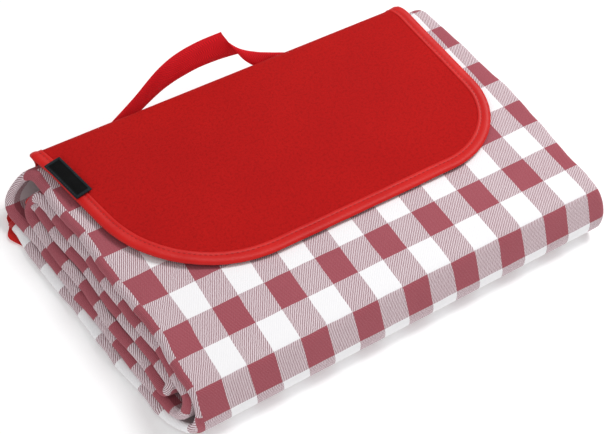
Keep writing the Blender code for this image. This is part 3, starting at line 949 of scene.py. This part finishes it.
def grid_slab(name, finishes, points, flat, rows, columns, chosen=None, crease=60):
    """A slab between two grids of points. chosen picks a material for each outer cell's middle."""
    rings, picked = [], []
    for r in range(rows - 1):
        for c in range(columns - 1):
            a = r * columns + c
            rings.append((a, a + 1, a + columns + 1, a + columns))
            middle = np.mean([flat[k] for k in rings[-1]], axis=0)
            picked += [chosen(*middle) if chosen else 0, 0]
    rim = list(range(columns)) + [r * columns + columns - 1 for r in range(1, rows)]
    rim += [(rows - 1) * columns + c for c in range(columns - 2, -1, -1)]
    rim += [r * columns for r in range(rows - 2, 0, -1)]
    picked += [0] * len(rim)
    around = zip(rim, rim[1:] + rim[:1])
    made = slab(name, finishes, points, flat, rings, around, picked, crease)
    outwards(made)
    return made


def outwards(obj):
    """Turns a closed mesh's faces outwards."""
    shape = bmesh.new()
    shape.from_mesh(obj.data)
    bmesh.ops.recalc_face_normals(shape, faces=shape.faces)
    shape.to_mesh(obj.data)
    shape.free()


def stitches(name, finish, path, normals, length=2.7 * MM, pitch=3.7 * MM, width=0.55 * MM):
    """A row of separate stitches along a path: each a short arched thread that dips at its ends.
    normals point up from the cloth."""
    path = np.asarray(path, float)
    arc = lengths(path)

    def at(values, where):
        return np.stack([np.interp(where, arc, column) for column in np.asarray(values).T], 1)

    points, faces = [], []
    sides, cuts = 6, 5
    for start in np.arange(0.3 * MM, arc[-1] - length, pitch):
        where = start + np.linspace(0, 1, cuts) * length
        middle, up = at(path, where), unit(at(normals, where))
        along = unit(np.gradient(middle, axis=0))
        across = np.cross(along, up)
        base = len(points)
        for i in range(cuts):
            t = i / (cuts - 1) * 2 - 1
            thick = width / 2 * math.sqrt(max(1 - 0.82 * t**4, 0.05))
            centre = middle[i] + up[i] * width * (0.28 - 0.62 * t * t)
            for side in range(sides):
                angle = side / sides * math.tau
                out = across[i] * math.cos(angle) + up[i] * math.sin(angle)
                points.append(centre + out * thick)
        for made in tube_faces(cuts, sides, base):
            faces += made
    made = mesh_piece(name, points, faces, [finish])
    outwards(made)
    return made


def over_the_back(obj):
    """Applies a piece's transform to its mesh; its turn from the spine to the flap already lies in its
    points.
    """
    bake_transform(obj)


def make_cover(red, lining, tape, sewing):
    panel = cover_layer("cover_cloth", red, 1.2 * MM, -PANEL_T / 2, PANEL_T / 2, 6 * MM)
    low = -PANEL_T / 2 - 0.15 * MM
    inner = cover_layer("cover_lining", lining, 3 * MM, low - LINING_T, low, 9 * MM)
    path = cover_outline()
    binding = sweep_section("cover_binding", tape, path, TAPE_SECTION, cover_place)
    row = inset(path, -7.4 * MM)
    seat = cover_place(row[:, 0], row[:, 1], np.full(len(row), 0.92 * MM))
    lifted = cover_place(row[:, 0], row[:, 1], np.full(len(row), 2.92 * MM))
    seam = stitches("cover_binding_stitches", sewing, seat, lifted - seat)
    for obj in (panel, inner, binding, seam):
        over_the_back(obj)
    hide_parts("flap_panel", "spine_panel")
    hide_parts("flap_lining", "spine_lining")
    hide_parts("flap_binding", "spine_binding_left", "spine_binding_right")
    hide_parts("flap_binding_stitch")


# ---- The base ----
BASE_MIDDLE = 0.62 * MM
# The base's left edge from the front to the spine, in mm: a bound corner lobe sticks out beside the
# spine, and a second one in front of it
BASE_LEFT = (
    (-160, -78), (-171, -77), (-176, -70), (-186, -20), (-194, 30), (-201, 70), (-204, 84), (-210, 90),
    (-213, 97), (-210, 102), (-205, 106), (-207, 109.5), (-208, 113), (-205, 117), (-202, 119),
)  # fmt: skip
BASE_RIGHT = ((130, 122), (140, 60), (152, 0), (163, -60), (166, -71), (161, -77), (150, -78))


def base_place(x, y, out):
    """The point of the base at x and y and at an offset up from its middle."""
    x, y, out = (np.asarray(item, float) for item in (x, y, out))
    lobe = smooth(-x, 199 * MM, 209 * MM) * smooth(y, 82 * MM, 96 * MM)
    z = BASE_MIDDLE + out + lobe * 2.4 * MM * (1 + 0.5 * np.sin(y / (9 * MM)))
    return np.stack(np.broadcast_arrays(x, y, z), -1)


BASE_SECTION = tuple((d, 0.5 * n) for d, n in (
    (10.2, 0.60), (9.4, 0.85), (7.4, 0.80), (5.0, 0.95), (3.0, 1.0), (1.0, 0.75), (0.0, 0.0),
    (1.0, -0.75), (3.0, -1.0), (9.6, -1.0), (10.0, -0.5), (2.0, -0.5), (2.0, 0.4),
))  # fmt: skip


def by_y(points):
    """y and x of points, in the order of y."""
    order = np.argsort(points[:, 1])
    return points[order, 1], points[order, 0]


def make_crease(red):
    """The strip that joins the base to the spine."""
    profile = np.array([
        (112, 0.62), (118, 0.62), (121.5, 0.66), (123.6, 0.95), (124.9, 1.75), (125.4, 3.0),
        (125.5, 5.0), (125.5, 9.0),
    ]) * MM  # fmt: skip
    along = np.gradient(profile, axis=0)
    normal = unit(np.stack([along[:, 1], -along[:, 0]], 1))
    ring = np.concatenate([profile + normal * 0.5 * MM, (profile - normal * 0.12 * MM)[::-1]])
    ring[:, 1] = np.maximum(ring[:, 1], 0.08 * MM)
    rings = []
    for t in np.linspace(0, 1, 60):
        x = -201 * MM + (127 + 201) * MM * t
        rings.append(np.stack([np.full(len(ring), x), ring[:, 0], ring[:, 1]], 1))
    crease = tube("cover_crease", red, np.array(rings))
    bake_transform(crease)


def make_base(red, tape):
    front = [(x, -78) for x in np.linspace(-150, 140, 40)]
    edge = np.array(list(BASE_LEFT)[::-1] + front + list(BASE_RIGHT)[::-1]) * MM
    edge = resample(edge, 4 * MM)
    for _ in range(2):
        edge[1:-1] = (edge[:-2] + 2 * edge[1:-1] + edge[2:]) / 4
    path = edge[::-1]
    inner = inset(path, -1.5 * MM)
    on_left = inner[:, 0] < -20 * MM
    rows, columns = 46, 30
    ys = np.linspace(-76 * MM, 122 * MM, rows)
    left_x = np.interp(ys, *by_y(inner[on_left]))
    right_x = np.interp(ys, *by_y(inner[~on_left]))
    flat = []
    for y, a, b in zip(ys, left_x, right_x):
        flat += [(a + (b - a) * t, y) for t in np.linspace(0, 1, columns)]
    flat = np.array(flat)
    sheets = [base_place(flat[:, 0], flat[:, 1], side * 0.25 * MM) for side in (1, -1)]
    panel = grid_slab("base_cloth", [red], np.concatenate(sheets), flat, rows, columns)
    binding = sweep_section("base_binding", tape, path, BASE_SECTION, base_place)
    for obj in (panel, binding):
        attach(obj, "blanket")
    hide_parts("base_panel")
    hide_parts("base_binding_front", "base_binding_left", "base_binding_right")
    make_crease(red)


# ---- The handle ----
STRAP_T = 1.6 * MM
STRAP_WIDTH = 24 * MM
STRAP_Y = 128 * MM  # its middle where it bends
STRAP_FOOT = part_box("handle_strap")[0]
STRAP_LEAN = 0.36  # how far it leans back for each metre up
STRAP_SPLIT = STRAP_FOOT.z - 0.3 * MM  # where it leaves the spine
# Along the strap from its left end: its two edges, each as x and z in mm, then how far each edge
# comes forward of the leaning plane
STRAP_LEFT = (
    (-158, 32, 0, -158, 8, 0), (-146, 32, 0, -144, 8, 0), (-134, 32.2, 0, -130, 9, 0),
    (-117, 36, 0, -110, 18.5, 0), (-104, 42.5, 0, -97, 31.5, 2), (-92, 48.6, 0, -87, 39.6, 5),
    (-80.5, 54.8, 0, -77.5, 44.6, 7), (-70, 61.2, 0, -69, 48.4, 7), (-59, 67.2, 0, -60, 51.6, 6),
    (-46, 72.2, 0, -50, 53.9, 4), (-32, 75.1, 0, -41, 55.3, 3), (-17, 76.4, 0, -33, 56.2, 2),
    (-2, 76.6, 0, -26, 56.7, 1),
)  # fmt: skip
STRAP_RIGHT = (
    (-2, 76.6, 0, -26, 56.7, 1), (-1.2, 74, 0, -14, 57.5, 5), (0.5, 70.5, 0, -2, 57.4, 8),
    (2.5, 66, 0, 10, 56, 8), (6, 58.5, 1, 24, 51.2, 5), (10.5, 50, 2, 37, 45.7, 2),
    (17, 42.5, 2, 49, 40.9, 0), (26, 36.3, 1, 59, 36.6, 0), (40, 25.5, 0, 69, 33.6, 0),
    (55, 14.5, 0, 78, 32, 0), (74, 8, 0, 88, 32, 0), (102, 8, 0, 102, 32, 0),
)  # fmt: skip
VIEWWARDS = np.array((0.302, 0.520, -0.799))  # away from a viewer at the front left, above it


def strap_edge(x, z, shift):
    """A point of one of the strap's edges. The shift slides it along the direction that the packet
    is usually looked at from, which turns the strap without moving its outline."""
    lean = STRAP_LEAN * max(z * MM - STRAP_SPLIT, 0)
    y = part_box("strap_end_left")[0].y + STRAP_T / 2 + lean
    return np.array((x * MM, y, z * MM)) + VIEWWARDS * shift * MM


def curve(arc, points, wanted):
    """A smooth curve through points at these arc lengths."""
    slopes = np.gradient(points, arc, axis=0)
    made = []
    for s in wanted:
        i = int(np.clip(np.searchsorted(arc, s) - 1, 0, len(arc) - 2))
        h = arc[i + 1] - arc[i]
        t = (s - arc[i]) / h
        made.append(
            points[i] * (2 * t**3 - 3 * t**2 + 1) + slopes[i] * h * (t**3 - 2 * t**2 + t)
            + points[i + 1] * (3 * t**2 - 2 * t**3) + slopes[i + 1] * h * (t**3 - t**2)
        )  # fmt: skip
    return np.array(made)


def make_strap(finish):
    """One length of webbing, with a sharp fold where its two parts meet."""
    lines = []
    for part in (STRAP_LEFT, STRAP_RIGHT):
        edges = [np.array([strap_edge(*row[k : k + 3]) for row in part]) for k in (0, 3)]
        arc = lengths((edges[0] + edges[1]) / 2)
        wanted = np.linspace(0, arc[-1], int(arc[-1] / (3.2 * MM)) + 1)
        lines.append([curve(arc, edge, wanted) for edge in edges])
    uppers, lowers = (np.concatenate([one, two[1:]]) for one, two in zip(*lines))
    middle = (uppers + lowers) / 2
    across = lowers - uppers
    normal = unit(np.cross(unit(across), unit(np.gradient(middle, axis=0))))
    arc = lengths(middle)
    columns = 9
    points, flat = [], []
    for side in (1, -1):
        for i in range(len(middle)):
            for t in np.arange(columns) / (columns - 1):
                thick = STRAP_T / 2 * (1 - abs(2 * t - 1) ** 6) ** 0.5 + 0.12 * MM
                cup = 0.5 * MM * math.sin(t * math.pi) * math.sin(min(arc[i] / arc[-1], 1) * math.pi)
                points.append(uppers[i] + across[i] * t + normal[i] * (side * thick + cup))
                flat.append((arc[i], t * STRAP_WIDTH))
    made = grid_slab("handle_webbing", [finish], points, flat, len(middle), columns, crease=55)
    start, end = ((0, STRAP_Y, STRAP_SPLIT + up * MM) for up in (-3, 5))
    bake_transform(made)
    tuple(start)
    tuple(end)
    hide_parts("handle_strap", "strap_end_left", "strap_end_right")


def make_strap_stitches(sewing):
    """A crossed box of stitches in each sewn end of the strap."""
    for name in ("left", "right"):
        low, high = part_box(f"strap_stitch_{name}")
        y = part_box(f"strap_end_{name}")[0].y + STRAP_T + 0.22 * MM
        a, b, c, d = (low.x, low.z), (high.x, low.z), (high.x, high.z), (low.x, high.z)
        runs = ([a, b, c, d, a], [a, c], [c, d], [d, b])
        path = np.concatenate([resample(run, 1.2 * MM) for run in runs])
        points = np.stack([path[:, 0], np.full(len(path), y), path[:, 1]], 1)
        up = np.tile((0.0, 1.0, 0.0), (len(path), 1))
        made = stitches(f"strap_box_stitches_{name}", sewing, points, up, 2.2 * MM, 2.9 * MM, 0.5 * MM)
        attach(made, "spine")
        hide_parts(f"strap_stitch_{name}")


# ---- The label ----
LABEL_SIZE = np.array((13.5, 41.0)) * MM
LABEL_TURN = math.radians(13)


def box_path(half, spacing):
    """The outline of a rectangle with these half sizes."""
    ring = np.array([(-1, -1), (1, -1), (1, 1), (-1, 1), (-1, -1)]) * half
    return resample(ring, spacing)


def label_place(x, y, up):
    """The point of the label at x and y from its middle, before it is turned, and at a height above
    its underside, which bends with the flap."""
    low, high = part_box("label")
    u, v = x / (LABEL_SIZE[0] / 2), y / (LABEL_SIZE[1] / 2)
    bend = 0.35 * MM * np.sin(v * 2.2 + 0.6) - 0.25 * MM * u * u
    cos, sin = math.cos(LABEL_TURN), math.sin(LABEL_TURN)
    across, along = x * cos - y * sin, x * sin + y * cos
    place = ((low.x + high.x) / 2 + across, (low.y + high.y) / 2 + along, low.z + bend + up)
    return np.stack(place, -1)


def make_label(border, centre, sewing):
    """A blank woven label: a raised border round a recessed field, with turned edges."""
    columns, rows = 22, 52
    half = LABEL_SIZE / 2

    def inside(x, y):
        return np.minimum(half[0] - abs(x), half[1] - abs(y))

    def field(x, y):
        return int(inside(x, y) > 2.1 * MM)

    u, v = np.meshgrid(np.linspace(-1, 1, columns), np.linspace(-1, 1, rows))
    x, y = u.ravel() * half[0], v.ravel() * half[1]
    edge = inside(x, y)
    raised = 0.30 * MM * (1 - smooth(edge, 1.7 * MM, 2.4 * MM))
    rounding = 0.35 * MM * (1 - smooth(edge, 0, 0.7 * MM))
    sheets = [label_place(x, y, 0.75 * MM + raised - rounding), label_place(x, y, 0.05 * MM)]
    flat = np.stack([x, y], 1)
    points = np.concatenate(sheets)
    made = grid_slab("blank_label", [border, centre], points, flat, rows, columns, field)
    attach(made, "flap")
    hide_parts("label")

    ring = box_path(half - 1.0 * MM, 0.9 * MM)
    up = np.tile((0.0, 0.0, 1.0), (len(ring), 1))
    path = label_place(ring[:, 0], ring[:, 1], 1.0 * MM)
    seam = stitches("label_stitches", sewing, path, up, 1.5 * MM, 2.2 * MM, 0.32 * MM)
    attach(seam, "flap")
    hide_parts("label_stitch")


# ---- Hems ----
def make_hems(finish):
    """The tape over the blanket's four edges."""
    hems = []
    out = unit(face_grid - back_grid)

    def tape(name, face, back, node):
        """A folded tape: face and back are rows of points from its inner edge outwards."""
        rings = np.stack([*face, *back[::-1]], 1)
        made = tube(name, finish, rings, crease=70)
        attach(made, "blanket")
        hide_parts(node)
        hems.append(made)

    def edge_tape(name, node, at, next_in, reach):
        """Tape over one line of the grids, which reaches this many mm in."""
        inwards = unit(face_grid[next_in] - face_grid[at])
        steps = [inwards * d * MM for d in (reach, reach / 2, -0.2)]
        lift = out[at] * 0.1 * MM
        face = [face_grid[at] + step + lift for step in steps]
        back = [back_grid[at] + step - lift for step in steps]
        tape(name, face, back, node)

    turned = range(5, -1, -1)
    face = [face_grid[:, c] + out[:, c] * 0.22 * MM for c in turned]
    back = [back_grid[:, c] - out[:, c] * 0.02 * MM for c in turned]
    tape("side_hem_turned_under", face, back, "side_hem_first")
    every = slice(None)
    edge_tape("side_hem_inside", "side_hem_second", (every, -1), (every, -2), 9)
    edge_tape("end_hem_tape_outer", "end_hem_outer", 0, 1, 5)
    edge_tape("end_hem_tape_inner", "end_hem_inner", -1, -2, 5)
    return hems


# ---- Hook and loop ----
def make_fastener(node, name, finish, sewing, body, up):
    """A strip of hook or loop tape with round corners and a bristling face, and its stitches. up is
    1 where it faces up and -1 where it faces down."""
    low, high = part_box(node)
    middle = (low + high) / 2
    half = (high - low) / 2
    columns, rows = 64, 18
    rng = np.random.default_rng(17)
    flat, points = [], []
    for side in (1, -1):
        for v in np.linspace(-1, 1, rows):
            for u in np.linspace(-1, 1, columns):
                bulk = (abs(u) ** 14 + abs(v) ** 14) ** (1 / 14)
                keep = max(abs(u), abs(v)) / bulk if bulk else 1
                x, y = u * keep * half.x, v * keep * half.y
                edge = min(half.x - abs(x), half.y - abs(y))
                relief = 0.12 * MM * rng.uniform(-1, 1) if side == 1 and edge > 3 * MM else 0
                sink = 0.25 * MM * (1 - smooth(edge, 0, 2.5 * MM)) if side == 1 else 0
                z = middle.z + up * (side * half.z * 0.8 + relief - sink)
                points.append((middle.x + x, middle.y + y, z))
                flat.append((x, y))
    made = grid_slab(name, [finish], points, flat, rows, columns)
    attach(made, body)
    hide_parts(node)

    ring = box_path(np.array(half[:2]) - 2.2 * MM, 1.5 * MM)
    z = middle.z + up * half.z * 0.85
    path = np.stack([middle.x + ring[:, 0], middle.y + ring[:, 1], np.full(len(ring), z)], 1)
    normals = np.tile((0.0, 0.0, float(up)), (len(ring), 1))
    seam = stitches(f"{name}_stitches", sewing, path, normals, 2.4 * MM, 3.2 * MM, 0.4 * MM)
    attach(seam, body)
    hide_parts(f"{node}_stitch")
    return [made, seam]


# ---- Everything but the blanket ----
red = cover_cloth("red_cover_cloth", (0.56, 0.0085, 0.0085), (0.60, 0.0105, 0.0095))
dull_red = cover_cloth("red_lining_cloth", (0.30, 0.012, 0.014), (0.36, 0.018, 0.020), 0.7 * MM)
tape = satin_tape("red_binding_tape", (0.62, 0.007, 0.006), (0.72, 0.012, 0.009))
hem_tape = satin_tape("hem_tape", (0.44, 0.012, 0.016), (0.52, 0.020, 0.024))
red_thread = thread("red_thread", (0.50, 0.012, 0.014), (0.60, 0.025, 0.025))
black_thread = thread("black_thread", (0.012, 0.016, 0.018), (0.03, 0.035, 0.038))

make_cover(red, dull_red, tape, red_thread)
make_base(red, tape)
make_strap(webbing())
make_strap_stitches(red_thread)
make_label(
    label_cloth("label_border", (0.012, 0.017, 0.021), (0.026, 0.034, 0.040)),
    label_cloth("label_field", (0.0012, 0.0014, 0.0016), (0.004, 0.0045, 0.005)),
    black_thread,
)
hems = make_hems(hem_tape)
hooks = fastener("hook_tape", 1.5 * MM, (0.16, 0.006, 0.008), (0.42, 0.03, 0.03), 0.5 * MM)
loops = fastener("loop_tape", 2.3 * MM, (0.24, 0.010, 0.012), (0.50, 0.05, 0.05), 0.6 * MM)
make_fastener("hook_strip", "hook_fastener", hooks, red_thread, "flap", -1)
pad = make_fastener("loop_strip", "loop_fastener", loops, red_thread, "blanket", 1)


# ---- Floor, lights and camera ----
def make_stage():
    """A wide plain floor, just under the lowest point of the model."""
    size = 3.0
    points = [(-size, -size, 0), (size, -size, 0), (size, size, 0), (-size, size, 0)]
    floor = mesh_piece("floor", points, [(0, 1, 2, 3)], [floor_paint()])
    floor.location.z = -0.1 * MM
    floor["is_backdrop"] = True


def area_light(name, place, size, power):
    """A round soft light that shines at the origin."""
    data = bpy.data.lights.new(name, "AREA")
    data.shape = "DISK"
    data.size = size
    data.energy = power
    made = bpy.data.objects.new(name, data)
    made.location = place
    made.rotation_euler = Vector(place).to_track_quat("Z", "Y").to_euler()
    bpy.context.scene.collection.objects.link(made)


def make_studio():
    """White surroundings, with a key light from the right and a weak one from the left."""
    world = bpy.data.worlds.new("studio")
    world.use_nodes = True
    world.node_tree.nodes["Background"].inputs["Color"].default_value = (1, 1, 1, 1)
    world.node_tree.nodes["Background"].inputs["Strength"].default_value = 0.40
    bpy.context.scene.world = world
    bpy.context.scene.view_settings.view_transform = "Standard"
    area_light("key", (0.95, 0.10, 1.35), 0.6, 18)
    area_light("fill", (-1.2, -0.8, 0.8), 0.9, 5)


def make_camera():
    """The photograph's view: from above and 30 degrees left of the front."""
    azimuth, elevation = math.radians(-30.12), math.radians(53.02)
    data = bpy.data.cameras.new("camera")
    data.lens = 58.82
    data.sensor_width = 36
    data.clip_end = 20
    camera = bpy.data.objects.new("camera", data)
    back = Vector((
        math.sin(azimuth) * math.cos(elevation),
        -math.cos(azimuth) * math.cos(elevation),
        math.sin(elevation),
    ))
    camera.location = (-0.2388, -0.3995, 0.6148)
    camera.rotation_euler = back.to_track_quat("Z", "Y").to_euler()
    bpy.context.scene.collection.objects.link(camera)
    bpy.context.scene.camera = camera


make_stage()
make_studio()
make_camera()

boxes = {"cad": CAD_BOX, "visual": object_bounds()}
{name: [list(corner) for corner in box] for name, box in boxes.items()}
